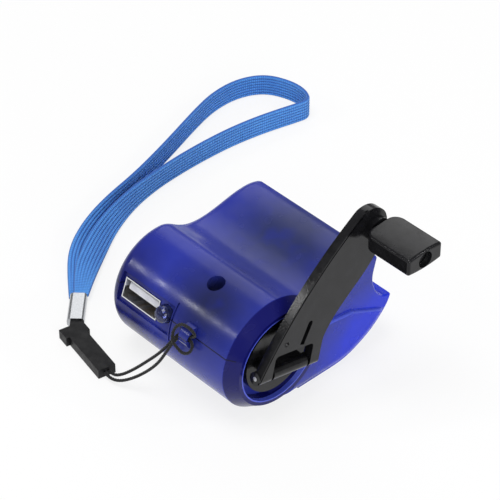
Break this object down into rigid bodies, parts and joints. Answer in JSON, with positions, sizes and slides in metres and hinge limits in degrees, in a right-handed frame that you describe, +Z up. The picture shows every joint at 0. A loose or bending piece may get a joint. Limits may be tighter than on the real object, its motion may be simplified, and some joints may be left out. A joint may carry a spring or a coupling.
{
  "type": "hand crank phone charger",
  "caption": "Pocket hand-crank charger: round-fronted case with a power socket, a folding crank arm with a turning knob, and a wrist strap.",
  "frame": {"origin": "middle of the footprint of the case, crank and knob, on the surface the case rests on; the lanyard isn't counted", "axes": "+X along the crank axis towards the knob's outer end, +Y from the round front to the tail, +Z up"},
  "size_m": [0.1286, 0.1223, 0.0513],
  "materials": {
    "blue_shell": "translucent deep blue, fine satin",
    "black_plastic": "black, satin moulded",
    "steel": "turned steel",
    "plated_sheet": "tin-plated pressed sheet",
    "brass": "turned brass",
    "white_plastic": "white moulded",
    "gear_plastic": "natural acetal",
    "magnet": "dark ferrite",
    "board": "green glass-epoxy board",
    "clear_lamp": "clear epoxy dome",
    "capacitor_sleeve": "dark sleeve",
    "black_package": "black moulded package",
    "wire_cover": "red insulation",
    "copper_winding": "enamelled copper and steel laminations",
    "black_cord": "fine black braided string",
    "crimp_metal": "pressed light metal",
    "blue_strap": "woven ribbed blue strap"
  },
  "bodies": {
    "case": {"upper_shell": "blue_shell", "lower_shell": "blue_shell", "casing_screws": "steel", "crank_bush": "brass", "outer_gear_plate": "plated_sheet", "inner_gear_plate": "plated_sheet", "gear_spacers": "brass", "gear_frame_rivets": "steel", "idler_axles": "steel", "motor_can": "plated_sheet", "motor_end_cap": "white_plastic", "motor_terminals": "brass", "motor_magnets": "magnet", "circuit_board": "board", "usb_shell": "plated_sheet", "usb_tongue": "white_plastic", "usb_contacts": "brass", "charge_lamp": "clear_lamp", "capacitor": "capacitor_sleeve", "regulator_chip": "black_package", "rectifier_diodes": "black_package", "generator_wires": "wire_cover", "lanyard_string": "black_cord", "lanyard_clip": "black_plastic", "lanyard_crimp": "crimp_metal", "wrist_strap": "blue_strap"},
    "crank": {"crank_disc": "black_plastic", "crank_shaft": "steel", "crank_gear": "gear_plastic"},
    "arm": {"crank_arm": "black_plastic", "hinge_pin": "steel", "knob_screw": "steel"},
    "knob": {"crank_knob": "black_plastic"},
    "first_idler": {"first_idler_gear": "gear_plastic"},
    "second_idler": {"second_idler_gear": "gear_plastic"},
    "rotor": {"motor_armature": "copper_winding", "motor_pinion": "brass"}
  },
  "joints": [
    {"name": "crank_spin", "type": "hinge", "parent": "case", "child": "crank", "pos_m": [0.01265, -0.01168, 0.016], "axis": [1, 0, 0], "continuous": true},
    {"name": "arm_fold", "type": "hinge", "parent": "crank", "child": "arm", "pos_m": [0.01505, -0.01193, 0.01483], "axis": [0, 0.9778, -0.2096], "range_deg": [0, 180]},
    {"name": "knob_spin", "type": "hinge", "parent": "arm", "child": "knob", "pos_m": [0.01865, 0.01632, 0.045], "axis": [1, 0, 0], "continuous": true},
    {"name": "first_idler_spin", "type": "hinge", "parent": "case", "child": "first_idler", "pos_m": [0.01265, 0.00179, 0.01506], "axis": [1, 0, 0], "continuous": true},
    {"name": "second_idler_spin", "type": "hinge", "parent": "case", "child": "second_idler", "pos_m": [0.01265, 0.01158, 0.00953], "axis": [1, 0, 0], "continuous": true},
    {"name": "motor_spin", "type": "hinge", "parent": "case", "child": "rotor", "pos_m": [0.01265, 0.01012, 0.0179], "axis": [1, 0, 0], "continuous": true}
  ],
  "couplings": [
    {"joint": "first_idler_spin", "follows": "crank_spin", "ratio": -4.4},
    {"joint": "second_idler_spin", "follows": "crank_spin", "ratio": 17.6},
    {"joint": "motor_spin", "follows": "crank_spin", "ratio": -57.2}
  ]
}
